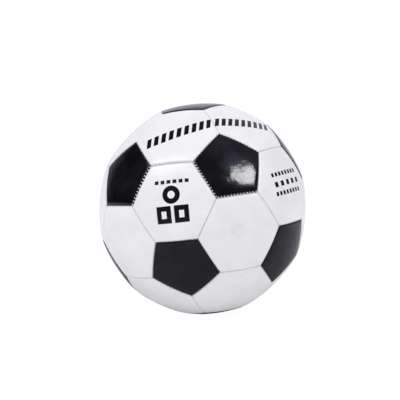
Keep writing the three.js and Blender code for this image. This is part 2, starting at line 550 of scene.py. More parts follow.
@dataclass(frozen=True)
class PlainFinish:
    """Thread, rubber or cloth: one colour with random mottling, a fine tooth and an even sheen."""

    name: str
    slot: str
    colour: Colour
    shade: Colour
    roughness: float
    grain: float
    grain_height: float
    cloud_grains: float = 9

    def build(self) -> bpy.types.Material:
        """Makes the material.

        Returns:
            The material.
        """
        material, tree = blank_material(self.name)
        tooth = tree.noise(self.grain, detail=3, roughness=0.6)
        cloud = tree.noise(self.grain * self.cloud_grains, detail=3)
        colour = tree.mix(((cloud - 0.4) * 3.0).held(), self.colour, self.shade)
        roughness = self.roughness + (tooth - 0.5) * 0.2
        shader = tree.node(
            "ShaderNodeBsdfPrincipled",
            {},
            {"Base Color": colour, "Roughness": roughness, "Normal": tree.bump(tooth, self.grain_height)},
        )
        tree.node("ShaderNodeOutputMaterial", {}, {"Surface": shader.outputs["BSDF"]})
        return material


BLACK_COVER = CoverFinish(
    name="black_cover",
    slot="black_cover",
    colour=(0.0036, 0.0034, 0.0046),
    shade=(0.0095, 0.0095, 0.0135),
    seam_dust_and_shade_colour=(0.004, 0.004, 0.005),
    roughness=0.11,
    wave_height=0.30 * MM,
)
WHITE_COVER = CoverFinish(
    name="white_cover",
    slot="white_cover",
    colour=(0.84, 0.84, 0.855),
    shade=(0.775, 0.78, 0.80),
    # Greyer at the seams: partly dust and partly painted shade in the grooves.
    seam_dust_and_shade_colour=(0.74, 0.74, 0.76),
    roughness=0.24,
    wave_height=0.20 * MM,
)
THREAD = PlainFinish(
    name="stitch_thread",
    slot="thread",
    colour=(0.78, 0.78, 0.76),
    shade=(0.66, 0.66, 0.64),
    roughness=0.6,
    grain=0.25 * MM,
    grain_height=0.03 * MM,
)
VALVE_RUBBER = PlainFinish(
    name="valve_rubber",
    slot="valve_rubber",
    colour=(0.030, 0.030, 0.032),
    shade=(0.05, 0.05, 0.05),
    roughness=0.5,
    grain=0.4 * MM,
    grain_height=0.02 * MM,
)
BLADDER_RUBBER = PlainFinish(
    name="bladder_rubber",
    slot="bladder_rubber",
    colour=(0.020, 0.020, 0.020),
    shade=(0.04, 0.04, 0.04),
    roughness=0.55,
    grain=0.8 * MM,
    grain_height=0.03 * MM,
)
PATCH_CLOTH = PlainFinish(
    name="patch_cloth",
    slot="patch_cloth",
    colour=(0.68, 0.64, 0.55),
    shade=(0.6, 0.56, 0.48),
    roughness=0.9,
    grain=0.6 * MM,
    grain_height=0.1 * MM,
)


@dataclass
class Paints:
    """The materials made so far, so that each finish is made once."""

    made: dict[str, bpy.types.Material] = field(default_factory=dict)

    def of(self, finish: Union[CoverFinish, PlainFinish]) -> bpy.types.Material:
        """Gives the material of a finish.

        Args:
            finish: The finish.

        Returns:
            Its material, made on the first call.
        """
        if finish.name not in self.made:
            self.made[finish.name] = finish.build()
        return self.made[finish.name]


# ---------------------------------------------------------------------------------------------------------
# Meshes from arrays
# ---------------------------------------------------------------------------------------------------------


@dataclass
class MeshParts:
    """Vertices and faces gathered as arrays, then made into one object."""

    points: list[np.ndarray] = field(default_factory=list)
    quads: list[np.ndarray] = field(default_factory=list)
    triangles: list[np.ndarray] = field(default_factory=list)
    plane: list[np.ndarray] = field(default_factory=list)
    distance: list[np.ndarray] = field(default_factory=list)
    total: int = 0

    def add_points(
        self, points: np.ndarray, plane: Optional[np.ndarray] = None, distance: Optional[np.ndarray] = None
    ) -> int:
        """Adds vertices.

        Args:
            points: Places, with the last axis of length 3.
            plane: The print frame's x and y at each vertex.
            distance: The distance from the seam at each vertex.

        Returns:
            The number of the first of them.
        """
        flat = points.reshape(-1, 3)
        first = self.total
        self.points.append(flat)
        self.plane.append(np.zeros((len(flat), 2)) if plane is None else plane.reshape(-1, 2))
        self.distance.append(np.zeros(len(flat)) if distance is None else distance.reshape(-1))
        self.total += len(flat)
        return first

    def join_rings(self, first: int, rings: int, around: int, closed: bool = False) -> None:
        """Joins rings of vertices: ring r to ring r + 1, vertex k to vertex k + 1 and the last to the first.

        Args:
            first: The number of the first ring's first vertex.
            rings: How many rings there are.
            around: How many vertices a ring has.
            closed: Whether the last ring is joined to the first one too.
        """
        r, k = np.meshgrid(np.arange(rings if closed else rings - 1), np.arange(around), indexing="ij")
        onward, turned = (r + 1) % rings * around, (k + 1) % around
        faces = [r * around + k, onward + k, onward + turned, r * around + turned]
        self.quads.append(first + np.stack(faces, -1).reshape(-1, 4))

    def close_pole(self, ring: int, around: int, pole: int, outward: bool) -> None:
        """Closes a ring with a fan to one vertex.

        Args:
            ring: The number of the ring's first vertex.
            around: How many vertices it has.
            pole: The number of the middle vertex.
            outward: Whether the ring runs anticlockwise seen from outside.
        """
        k = np.arange(around)
        here, following = ring + k, ring + (k + 1) % around
        fan = np.stack([np.full(around, pole), here, following], -1)
        self.triangles.append(fan if outward else fan[:, ::-1])

    def build(self, name: str, material: bpy.types.Material) -> bpy.types.Object:
        """Makes the object, smooth shaded, at the origin.

        Args:
            name: Its name.
            material: Its finish.

        Returns:
            The object.
        """
        points = np.concatenate(self.points)
        quads = np.concatenate(self.quads) if self.quads else np.zeros((0, 4), int)
        triangles = np.concatenate(self.triangles) if self.triangles else np.zeros((0, 3), int)
        corners = np.concatenate([quads.ravel(), triangles.ravel()]).astype(np.int32)
        sizes = np.concatenate([np.full(len(quads), 4), np.full(len(triangles), 3)]).astype(np.int32)
        mesh = bpy.data.meshes.new(name)
        mesh.vertices.add(len(points))
        mesh.vertices.foreach_set("co", points.astype(np.float32).ravel())
        mesh.loops.add(len(corners))
        mesh.loops.foreach_set("vertex_index", corners)
        mesh.polygons.add(len(sizes))
        mesh.polygons.foreach_set("loop_start", (np.cumsum(sizes) - sizes).astype(np.int32))
        mesh.polygons.foreach_set("loop_total", sizes)
        mesh.polygons.foreach_set("use_smooth", np.ones(len(sizes), bool))
        mesh.update(calc_edges=True)
        uv = mesh.uv_layers.new(name=PRINT_MAP)
        uv.data.foreach_set("uv", np.concatenate(self.plane)[corners].astype(np.float32).ravel())
        seam = mesh.attributes.new(SEAM_DISTANCE, "FLOAT", "POINT")
        seam.data.foreach_set("value", np.concatenate(self.distance).astype(np.float32))
        mesh.validate()
        mesh.materials.append(material)
        piece = bpy.data.objects.new(name, mesh)
        bpy.context.collection.objects.link(piece)
        return piece


def unit(vectors: np.ndarray) -> np.ndarray:
    """Vectors along the last axis, each made one unit long."""
    return vectors / np.linalg.norm(vectors, axis=-1, keepdims=True)


# ---------------------------------------------------------------------------------------------------------
# The ball's form and its panel pattern
# ---------------------------------------------------------------------------------------------------------


@dataclass(frozen=True)
class BallForm:
    """The ball's size and the way it lies, the same as the frame's.

    roundness is its width over its height, and flatness is how far its panels are flat faces. flat_size is the
    mean radius of a flat-faced ball, as a share of its corners' distance.
    """

    radius: float = 110.3 * MM
    roundness: float = 0.989
    yaw: float = math.radians(2.5)
    lean: float = math.radians(6.7)
    flatness: float = 0.3
    flat_size: float = 0.95

    def turn(self) -> np.ndarray:
        """The pattern's frame turned by the yaw about +Z, then leaned by the lean from +Z towards -X.

        Returns:
            A 3 by 3 matrix.
        """
        cy, sy = math.cos(self.yaw), math.sin(self.yaw)
        cl, sl = math.cos(self.lean), math.sin(self.lean)
        yawed = np.array([[cy, -sy, 0], [sy, cy, 0], [0, 0, 1]])
        leaned = np.array([[cl, 0, -sl], [0, 1, 0], [sl, 0, cl]])
        return leaned @ yawed

    def place(self, points: np.ndarray) -> np.ndarray:
        """Takes points from the pattern's frame to the ball's: turned, then pulled slightly oval."""
        return (points @ self.turn().T) * np.array([self.roundness, self.roundness, 1.0])

    def crown(self, flat: np.ndarray) -> np.ndarray:
        """Distance from the ball's middle to a panel's crown: part a round ball's, part a flat-faced ball's.

        Args:
            flat: The distance of the panel's flat face in that direction, as a share of its corners'.

        Returns:
            The distance for each.
        """
        return self.radius * (1 - self.flatness + self.flatness * flat / self.flat_size)


@dataclass(frozen=True)
class Outline:
    """One panel's corners on the pattern of unit edge, anticlockwise seen from outside."""

    corners: np.ndarray

    @property
    def middle(self) -> np.ndarray:
        """The middle of the panel's plane."""
        return self.corners.mean(0)

    @property
    def axis(self) -> np.ndarray:
        """The way out through the middle."""
        return unit(self.middle)

    def basis(self) -> np.ndarray:
        """The panel's own frame: x through its first corner, z along its axis.

        Returns:
            Rows x, y and z.
        """
        z = self.axis
        x = unit(self.corners[0] - self.corners[0] @ z * z)
        return np.stack([x, np.cross(z, x), z])


class PanelPattern:
    """An icosahedron with its corners cut off a third of the way along each edge, one black panel on top."""

    def __init__(self) -> None:
        """Works out the twelve black and twenty white outlines and the ninety seams.

        Cut (a, b) lies a third of the way from corner a of the icosahedron to its neighbour b. The cuts round
        one corner make a black panel, and the six cuts between three neighbours make a white one.
        """
        centres = self._centres()
        near = np.abs(centres @ centres.T - 1 / math.sqrt(5)) < SAME
        scale = 1 / np.linalg.norm((centres[0] - centres[1]) / 3)
        cuts = (centres[:, None] * 2 + centres[None]) / 3 * scale
        self.black = [self._ordered(cuts[a, near[a]]) for a in range(len(centres))]
        self.white = []
        for a, b, c in combinations(range(len(centres)), 3):
            if near[a, b] and near[b, c] and near[a, c]:
                pairs = [(a, b), (b, a), (b, c), (c, b), (a, c), (c, a)]
                self.white.append(self._ordered(np.array([cuts[pair] for pair in pairs])))
        self.seams = self._seams()

    @staticmethod
    def _centres() -> np.ndarray:
        """The twelve corners of the icosahedron: two poles and two rings of five.

        Returns:
            Unit vectors.
        """
        height, radius = 1 / math.sqrt(5), 2 / math.sqrt(5)
        turn = np.arange(5) * 2 * math.pi / 5
        rings = [
            np.stack([radius * np.cos(turn + shift), radius * np.sin(turn + shift), np.full(5, level)], 1)
            for shift, level in ((0, height), (math.pi / 5, -height))
        ]
        return np.concatenate([[[0, 0, 1]], *rings, [[0, 0, -1]]])

    @staticmethod
    def _ordered(corners: np.ndarray) -> Outline:
        """Puts corners in order by their angle round the panel's axis.

        Args:
            corners: The corners in any order.

        Returns:
            The outline.
        """
        axis = unit(corners.mean(0))
        x = unit(corners[0] - corners[0] @ axis * axis)
        angle = np.arctan2(corners @ np.cross(axis, x), corners @ x)
        return Outline(corners[np.argsort(angle)])

    def _seams(self) -> np.ndarray:
        """The seams, each once, as the pair of corners it joins.

        The two panels at a seam give it the same key, its middle in thousandths of its length.

        Returns:
            An array of 90 by 2 by 3.
        """
        found: dict[tuple[int, ...], np.ndarray] = {}
        for outline in [*self.black, *self.white]:
            for start, end in zip(outline.corners, np.roll(outline.corners, -1, 0)):
                key = tuple(np.round((start + end) * 1000).astype(int))
                found.setdefault(key, np.stack([start, end]))
        return np.array(list(found.values()))


# ---------------------------------------------------------------------------------------------------------
# Cover panels
# ---------------------------------------------------------------------------------------------------------


# The ways to the middles of the seams that gape a little, so that their thread stands out.
SLACK_SEAMS = (
    (-0.59, -0.782, 0.197),
    (0.04, -0.931, 0.363),
    (0.31, -0.928, 0.207),
    (-0.29, -0.809, 0.511),
)
SLACK_REACH = math.cos(math.radians(9))


def slackness(form: BallForm, seams: np.ndarray) -> np.ndarray:
    """Tells the slack seams from the tight ones.

    Args:
        form: The ball's form.
        seams: Points on the ways to the seams' middles, in the pattern's frame.

    Returns:
        1 for each slack seam and 0 for each tight one.
    """
    facing = unit(form.place(seams)) @ unit(np.array(SLACK_SEAMS)).T
    return (facing.max(-1) > SLACK_REACH).astype(float)


@dataclass(frozen=True)
class SeamShape:
    """How a panel's edge goes down into the seam, and how the stitches pull on it."""

    gap: float = 0.36 * MM
    roll_width: float = 2.1 * MM
    roll_depth: float = 1.0 * MM
    pillow_width: float = 13 * MM
    pillow_depth: float = 0.42 * MM
    stitches: int = 13
    pucker_depth: float = 0.5 * MM
    pucker_reach: float = 1.5 * MM
    gape_depth: float = 0.7 * MM
    gape_reach: float = 1.3 * MM
    margin_depth: float = 6.2 * MM
    margin_thickness: float = 1.8 * MM
    leather: float = 2.2 * MM
    rim_clearance: float = 0.3 * MM
    lining_reach: float = 0.6
    lining_sag: float = 0.2 * MM

    def drop(self, inset: np.ndarray) -> np.ndarray:
        """Depth below the crown: a quarter of an ellipse at the edge, and a shallow parabola further in.

        Args:
            inset: The distance in from the seam.

        Returns:
            The depth.
        """
        edge = np.clip(1 - inset / self.roll_width, 0, 1)
        slope = np.clip(1 - inset / self.pillow_width, 0, 1)
        return self.roll_depth * (1 - np.sqrt(1 - edge**2)) + self.pillow_depth * slope**2

    def pucker(self, along: np.ndarray, inset: np.ndarray) -> np.ndarray:
        """The dimple at each stitch: a raised cosine along the seam, fading inward as a bell curve.

        Args:
            along: The place along the side, from 0 to 1.
            inset: The distance in from the seam.

        Returns:
            The depth.
        """
        beat = 0.5 - 0.5 * np.cos(2 * np.pi * self.stitches * along)
        return self.pucker_depth * beat**3 * np.exp(-((inset / self.pucker_reach) ** 2))


class PanelKind(Enum):
    """The two cuts of panel, by their number of sides."""

    BLACK = 5
    WHITE = 6


SEAM_SHAPES = {
    PanelKind.BLACK: SeamShape(roll_width=3.4 * MM, roll_depth=0.95 * MM, gape_depth=0.15 * MM),
    PanelKind.WHITE: SeamShape(),
}


# How far in from the seam a panel's outer rings lie near its edge, in millimetres.
EDGE_RINGS = (0, 0.06, 0.16, 0.32, 0.55, 0.85, 1.2, 1.6, 2.1, 2.7, 3.4, 4.4, 5.8, 7.6, 10)


@dataclass(frozen=True)
class PanelSkin:
    """One panel's surface as rings round its middle, from the crown over the rolled edge to the lining.

    Its waviness is a sum of waves whose lengths, in millimetres, lie between two limits. The pull of its
    stitches lies between two shares of the pucker's depth.
    """

    form: BallForm
    seam: SeamShape
    outline: Outline
    seed: int
    hole: float = 0.0
    hole_blend: float = 0.7
    lip: float = 0.7 * MM
    lip_share: float = 0.6
    per_side: int = 65
    inner_rings: int = 10
    pull: tuple[float, float] = (0.6, 1.25)
    waves: int = 14
    wave_lengths: tuple[float, float] = (9, 30)
    wave_height: float = 0.05 * MM
    calm_width: float = 6 * MM

    @property
    def sides(self) -> int:
        """How many sides the panel has."""
        return len(self.outline.corners)

    @property
    def unit_length(self) -> float:
        """The length that one unit of the pattern stands for at the corners' distance."""
        return self.form.radius / float(np.linalg.norm(self.outline.corners[0]))

    @property
    def reach(self) -> float:
        """The distance from the middle to a side."""
        side = (self.outline.corners[0] + self.outline.corners[1]) / 2
        return float(np.linalg.norm(side - self.outline.middle)) * self.unit_length

    def insets(self) -> np.ndarray:
        """Distances in from the seam of the crown's rings, close together near the edge.

        Returns:
            Distances, the smallest first.
        """
        edge = np.array(EDGE_RINGS) * MM
        inner = np.linspace(edge[-1], self.reach - self.hole, self.inner_rings)[1:-1]
        return np.concatenate([edge, inner])

    def plane_points(self, insets: np.ndarray) -> np.ndarray:
        """Points on rings in the panel's plane, each side a straight line between two drawn-in corners.

        Towards a hole the rings become circles.

        Args:
            insets: The rings' distances in from the seam.

        Returns:
            An array of rings by points by 2.
        """
        turn = np.arange(self.sides + 1) * 2 * np.pi / self.sides
        corners = np.stack([np.cos(turn), np.sin(turn)], -1) / math.cos(math.pi / self.sides)
        share = np.arange(self.per_side)[None, :, None] / self.per_side
        ring = (corners[:-1, None] * (1 - share) + corners[1:, None] * share).reshape(-1, 2)
        drawn_in = (self.reach - insets)[:, None, None]
        straight = ring[None] * drawn_in
        if not self.hole:
            return straight
        blend = self.reach * self.hole_blend
        roundness = np.clip((blend - drawn_in) / (blend - self.hole), 0, 1)
        return straight * (1 - roundness) + unit(ring)[None] * drawn_in * roundness

    def along(self) -> np.ndarray:
        """The place of each of a ring's points along its side, from 0 to 1."""
        return np.tile(np.arange(self.per_side) / self.per_side, self.sides)

    def waviness(self, directions: np.ndarray) -> np.ndarray:
        """Soft unevenness of the laminated sheet: a sum of plane waves with random directions.

        Args:
            directions: Unit directions from the ball's middle.

        Returns:
            A height for each.
        """
        random = np.random.default_rng(SEED + self.seed)
        lengths = random.uniform(*self.wave_lengths, self.waves) * MM
        vectors = unit(random.normal(size=(self.waves, 3))) * (2 * np.pi / lengths)[:, None]
        phases = random.uniform(0, 2 * np.pi, self.waves)
        strengths = lengths / lengths.max() / math.sqrt(self.waves)
        return self.wave_height * (np.sin(directions * self.form.radius @ vectors.T + phases) @ strengths)

    def own_frame(self, plane: np.ndarray) -> np.ndarray:
        """Points of the panel's plane in the panel's own frame.

        Args:
            plane: x and y in the panel's plane.

        Returns:
            x, y and the plane's height above the ball's middle.
        """
        height = np.linalg.norm(self.outline.middle) * self.unit_length
        return np.concatenate([plane, np.full((*plane.shape[:-1], 1), height)], -1)

    def lift(self, plane: np.ndarray, depth: np.ndarray) -> np.ndarray:
        """Lifts points of the panel's plane to the ball: along their direction to the crown less the depth.

        Args:
            plane: x and y in the panel's plane.
            depth: The depth below the crown.

        Returns:
            Places in the ball's frame.
        """
        local = self.own_frame(plane)
        out = unit(local) @ self.outline.basis()
        crown = self.form.crown(np.linalg.norm(local, axis=-1) / self.form.radius)
        return self.form.place(out * (crown - depth)[..., None])

    def outer_depth(self, insets: np.ndarray, plane: np.ndarray) -> np.ndarray:
        """Depth of the outer side: the drop and the puckers, less the waviness, plus the gape of slack seams.

        Args:
            insets: The rings' distances in from the seam.
            plane: The rings' points in the panel's plane.

        Returns:
            The depth below the crown, rings by points.
        """
        random = np.random.default_rng(SEED * 2 + self.seed)
        strength = random.uniform(*self.pull, self.sides * self.seam.stitches)
        beat = np.repeat(strength, self.per_side // self.seam.stitches)
        depth = self.seam.drop(insets)[:, None] + self.seam.pucker(self.along(), insets[:, None]) * beat
        calm = np.clip(insets / self.calm_width, 0, 1)[:, None]
        depth = depth - self.waviness(unit(self.own_frame(plane)) @ self.outline.basis()) * calm
        slack = slackness(self.form, self.outline.corners + np.roll(self.outline.corners, -1, 0))
        gape = self.seam.gape_depth * np.exp(-((insets / self.seam.gape_reach) ** 2))
        return depth + gape[:, None] * np.repeat(slack, self.per_side)

    def lining(self) -> tuple[np.ndarray, np.ndarray]:
        """The rings under the panel: down the turned-in rim, back up behind it and in along the lining.

        Returns:
            The rings' points in the panel's plane, and their depths.
        """
        seam = self.seam
        insets = np.array([0.0, seam.margin_thickness, seam.margin_thickness, self.reach * seam.lining_reach])
        behind_rim = seam.leather + seam.pillow_depth + seam.rim_clearance
        depths = np.array([seam.margin_depth, seam.margin_depth, behind_rim, seam.leather + seam.lining_sag])
        plane = self.plane_points(insets + seam.gap / 2)
        return plane, np.repeat(depths[:, None], plane.shape[1], 1)

    def build(self, name: str, material: bpy.types.Material, upright: float) -> bpy.types.Object:
        """Makes the panel: the outer rings from the middle to the edge, then the lining's from the rim in.

        Args:
            name: The piece's name.
            material: Its finish.
            upright: The angle of the print's up direction in the panel's plane.

        Returns:
            The object.
        """
        insets = self.insets()
        outer = self.plane_points(insets + self.seam.gap / 2)
        under, under_depth = self.lining()
        rings = [outer[::-1], under]
        depths = [self.outer_depth(insets, outer)[::-1], under_depth]
        around = outer.shape[1]
        if self.hole:
            wall, wall_depth = self.hole_wall(around)
            rings.insert(0, wall[::-1])
            depths.insert(0, wall_depth[::-1])
        plane, depth = np.concatenate(rings), np.concatenate(depths)
        c, s = math.cos(upright - math.pi / 2), math.sin(upright - math.pi / 2)
        printed = plane @ np.array([[c, -s], [s, c]])
        parts = MeshParts()
        parts.add_points(self.lift(plane, depth), printed, self.reach - self.edge_distance(plane))
        parts.join_rings(0, len(plane), around, closed=self.hole > 0)
        if not self.hole:
            middle, seam_far_off = np.zeros((1, 2)), np.array([self.reach])
            for down, ring, outward in ((0.0, 0, True), (self.seam.leather, len(plane) - 1, False)):
                pole = parts.add_points(self.lift(middle, np.array([down])), None, seam_far_off)
                parts.close_pole(ring * around, around, pole, outward)
        return parts.build(name, material)

    def edge_distance(self, plane: np.ndarray) -> np.ndarray:
        """How far out a point lies on the scale where every side is at the reach.

        Args:
            plane: x and y in the panel's plane.

        Returns:
            The largest of the point's distances along the directions of the sides.
        """
        turn = (np.arange(self.sides) + 0.5) * 2 * np.pi / self.sides
        return (plane @ np.stack([np.cos(turn), np.sin(turn)])).max(-1)

    def hole_wall(self, around: int) -> tuple[np.ndarray, np.ndarray]:
        """The rounded edge of the valve's hole: a quarter ellipse over the lip, then straight down.

        Args:
            around: How many points a ring has.

        Returns:
            The rings' points in the panel's plane, and their depths, from the crown downward.
        """
        bend = np.linspace(0, np.pi / 2, 6)
        outward = self.lip * np.sin(bend) * self.lip_share
        radii = np.concatenate([self.hole - outward, [self.hole - self.lip * self.lip_share]])
        depths = np.concatenate([self.lip * (1 - np.cos(bend)), [self.seam.leather]])
        ring = unit(self.plane_points(np.array([0.0]))[0])
        return ring[None] * radii[:, None, None], np.repeat(depths[:, None], around, 1)


class PrintPlace(Enum):
    """The panels that carry print or dirt.

    Each has a direction near its middle, the direction of a neighbour, and the turn in degrees from that
    neighbour's direction to the print's up direction.
    """

    UPPER_LEFT = ((-0.26, -0.58, 0.77), (0.41, -0.34, 0.85), 90.0)
    UPPER_RIGHT = ((0.41, -0.34, 0.85), (-0.26, -0.58, 0.77), -90.0)
    FRONT = ((-0.29, -0.94, 0.16), (-0.26, -0.58, 0.77), 0.0)
    RIGHT = ((0.79, -0.55, 0.28), (0.41, -0.34, 0.85), 0.0)
    LOWER_RIGHT = ((0.375, -0.922, -0.09), (-0.29, -0.94, 0.16), -90.0)

    @property
    def direction(self) -> np.ndarray:
        """The way to the panel's middle."""
        return np.array(self.value[0])

    @property
    def neighbour(self) -> np.ndarray:
        """The way to the neighbour that the print is set out from."""
        return np.array(self.value[1])

    @property
    def turn(self) -> float:
        """The turn from the neighbour's direction to the print's up direction."""
        return math.radians(self.value[2])


WHITE_REACH = 38.4  # from a white panel's middle to its sides, in millimetres
PRINTS: dict[PrintPlace, tuple[Mark, ...]] = {
    PrintPlace.UPPER_LEFT: (SlantedBand(start=-30.0, count=9, seam=WHITE_REACH),),
    PrintPlace.UPPER_RIGHT: (SlantedBand(start=-36.4, count=9, seam=-WHITE_REACH),),
    PrintPlace.FRONT: (
        BlockRow(start=-16.5, count=6, level=19.0, width=4.0, height=3.6, gap=2.0),
        Ring(x=-0.5, y=6.6, radius=8.6, stroke=5.0),
        Frame(x=-9.0, y=-12.0, width=14.5, height=16.5, stroke=4.8),
        Frame(x=8.5, y=-12.0, width=14.5, height=16.5, stroke=4.8),
    ),
    PrintPlace.RIGHT: (
        BlockRow(start=-19.0, count=8, level=11.5, width=3.6, height=4.0, gap=2.0),
        BlockRow(start=-17.5, count=5, level=2.0, width=5.0, height=5.0, gap=4.4),
        BlockRow(start=-19.0, count=8, level=-7.0, width=3.6, height=4.0, gap=2.0),
    ),
    PrintPlace.LOWER_RIGHT: (Smudge(x=-5.0, y=3.4, radius=11.0, strength=0.12),),
}


@dataclass
class Cover:
    """The thirty-two panels, each of which stands for its node.

    print_reach is the least cosine between a panel's axis and the direction of its print.
    """

    form: BallForm
    pattern: PanelPattern
    paints: Paints
    valve_hole: float = 5.2 * MM
    print_reach: float = 0.98

    def node_at(self, direction: np.ndarray) -> str:
        """The panel node whose box lies furthest along a direction.

        Args:
            direction: A direction from the ball's middle.

        Returns:
            The node's name.
        """
        names = [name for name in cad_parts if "_panel_" in name]
        middles = {name: np.array(sum(map(np.array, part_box(name)))) / 2 for name in names}
        return max(names, key=lambda name: float(unit(middles[name]) @ direction))

    def print_on(self, outline: Outline) -> tuple[CoverFinish, float]:
        """The finish and print angle of a white panel.

        Args:
            outline: The panel's outline.

        Returns:
            The finish, and the angle of the print's up direction in the panel's plane.
        """
        turn = self.form.turn()
        axis = turn @ outline.axis
        for place, marks in PRINTS.items():
            if axis @ unit(place.direction) < self.print_reach:
                continue
            local = (turn.T @ place.neighbour) @ outline.basis().T
            angle = math.atan2(local[1], local[0]) + place.turn
            return replace(WHITE_COVER, name=f"white_cover_{place.name.lower()}", marks=marks), angle
        return WHITE_COVER, math.pi / 2

    def build(self) -> list[bpy.types.Object]:
        """Builds and dresses every panel.

        Returns:
            The pieces.
        """
        made = []
        for number, outline in enumerate([*self.pattern.black, *self.pattern.white]):
            node = self.node_at(unit(self.form.place(outline.axis)))
            kind = PanelKind(len(outline.corners))
            finish, upright = BLACK_COVER, math.pi / 2
            if kind is PanelKind.WHITE:
                finish, upright = self.print_on(outline)
            hole = self.valve_hole if node == "white_panel_valve" else 0.0
            skin = PanelSkin(self.form, SEAM_SHAPES[kind], outline, seed=number, hole=hole)
            piece = skin.build(f"{node}_skin", self.paints.of(finish), upright)
            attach(piece, BODY)
            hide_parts(node)
            made.append(piece)
        return made


# ---------------------------------------------------------------------------------------------------------
# Stitching
# ---------------------------------------------------------------------------------------------------------


@dataclass
class Stitching:
    """Short bent lengths of waxed thread that cross every seam and sink into both panels.

    Each length's own depth is the depth times a random share between the two of jitter, and tight seams pull
    theirs down by the tight depth.
    """

    form: BallForm
    pattern: PanelPattern
    paints: Paints
    thickness: float = 0.95 * MM
    half_span: float = 1.25 * MM
    slant: float = 0.12 * MM
    depth: float = 0.52 * MM
    end_depth: float = 1.5 * MM
    end_power: int = 6
    tight_depth: float = 1.2 * MM
    jitter: tuple[float, float] = (0.75, 1.2)
    rings: int = 5
    sides: int = 6

    def lines(self) -> tuple[np.ndarray, np.ndarray]:
        """The stitches' middle lines, in the pattern's frame.

        A line runs across the seam from one side to the other, from -1 to 1. Its depth is the depth of its
        middle plus the end power of that number times the extra depth of its ends.

        Returns:
            The lines' points, as seams by stitches by points, and the way out of the ball at each stitch.
        """
        count = SEAM_SHAPES[PanelKind.WHITE].stitches
        share = (np.arange(count) + 0.5) / count
        start, end = self.pattern.seams[:, 0, None], self.pattern.seams[:, 1, None]
        seam = start * (1 - share[None, :, None]) + end * share[None, :, None]
        out = unit(seam)
        crown = self.form.crown(np.linalg.norm(seam, axis=-1) / np.linalg.norm(self.pattern.seams[0, 0]))
        across = np.broadcast_to(unit(np.cross(start, end)), out.shape)
        along = np.cross(across, out)
        jitter = np.random.default_rng(SEED).uniform(*self.jitter, (*out.shape[:2], 1))
        step = np.linspace(-1, 1, self.rings)
        depth = self.depth * jitter + (self.end_depth - self.depth) * step[None, None, :] ** self.end_power
        tight = 1.0 - slackness(self.form, self.pattern.seams.sum(1))
        depth = depth + self.tight_depth * tight[:, None, None]
        middle = (
            out[:, :, None] * (crown[..., None] - depth)[..., None]
            + across[:, :, None] * (step * self.half_span)[None, None, :, None]
            + along[:, :, None] * (step * self.slant)[None, None, :, None]
        )
        return middle, out

    def faces(self, total: int) -> np.ndarray:
        """The faces of all the stitches: a tube of rings, and two faces across the six points of each end.

        Args:
            total: How many stitches there are.

        Returns:
            Four vertex numbers for each face.
        """
        r, k = np.meshgrid(np.arange(self.rings - 1), np.arange(self.sides), indexing="ij")
        here, following = r * self.sides + k, r * self.sides + (k + 1) % self.sides
        wall = np.stack([here, here + self.sides, following + self.sides, following], -1).reshape(-1, 4)
        near_end = np.array([[0, 1, 2, 3], [0, 3, 4, 5]])
        far_end = (self.rings - 1) * self.sides + near_end[:, ::-1]
        one = np.concatenate([wall, near_end, far_end])
        firsts = np.arange(total) * self.rings * self.sides
        return (one[None] + firsts[:, None, None]).reshape(-1, 4)

    def build(self) -> list[bpy.types.Object]:
        """Builds all the stitches as one piece: a ring of points is carried along each middle line.

        Returns:
            The piece, in a list.
        """
        middle, out = self.lines()
        tangent = unit(np.gradient(middle, axis=2))
        side = unit(np.cross(tangent, out[:, :, None]))
        up = np.cross(side, tangent)
        turn = np.arange(self.sides) * 2 * np.pi / self.sides
        ring = side[..., None, :] * np.cos(turn)[:, None] + up[..., None, :] * np.sin(turn)[:, None]
        points = middle[..., None, :] + ring * self.thickness / 2
        parts = MeshParts()
        parts.add_points(self.form.place(points))
        parts.quads.append(self.faces(points.shape[0] * points.shape[1]))
        piece = parts.build("stitches", self.paints.of(THREAD))
        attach(piece, BODY)
        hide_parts("stitching_thread")
        return [piece]


# ---------------------------------------------------------------------------------------------------------
# Valve and bladder
# ---------------------------------------------------------------------------------------------------------


# Radius and height in millimetres: outward over the top, down the outside and in below.
HOUSING_PROFILE = (
    (3.6, 107.45),
    (3.85, 107.7),
    (4.3, 107.7),
    (4.55, 107.45),
    (4.6, 107.2),
    (4.6, 104.0),
    (4.75, 103.6),
    (5.15, 103.4),
    (12.6, 103.4),
    (12.9, 103.3),
    (13.0, 103.1),
    (13.0, 102.3),
    (4.6, 102.3),
    (4.6, 91.3),
    (4.3, 91.0),
    (2.9, 91.0),
    (2.6, 91.3),
    (2.6, 106.1),
    (3.5, 106.1),
    (3.6, 106.2),
)
CORE_PROFILE = (
    (0.0, 103.5),
    (0.6, 103.5),
    (0.6, 106.9),
    (0.75, 107.2),
    (1.1, 107.4),
    (1.5, 107.5),
    (2.8, 107.5),
    (3.1, 107.4),
    (3.2, 107.1),
    (3.2, 106.6),
    (3.1, 106.4),
    (2.3, 106.4),
    (2.2, 106.3),
    (2.2, 93.4),
    (1.8, 93.0),
    (0.0, 93.0),
)


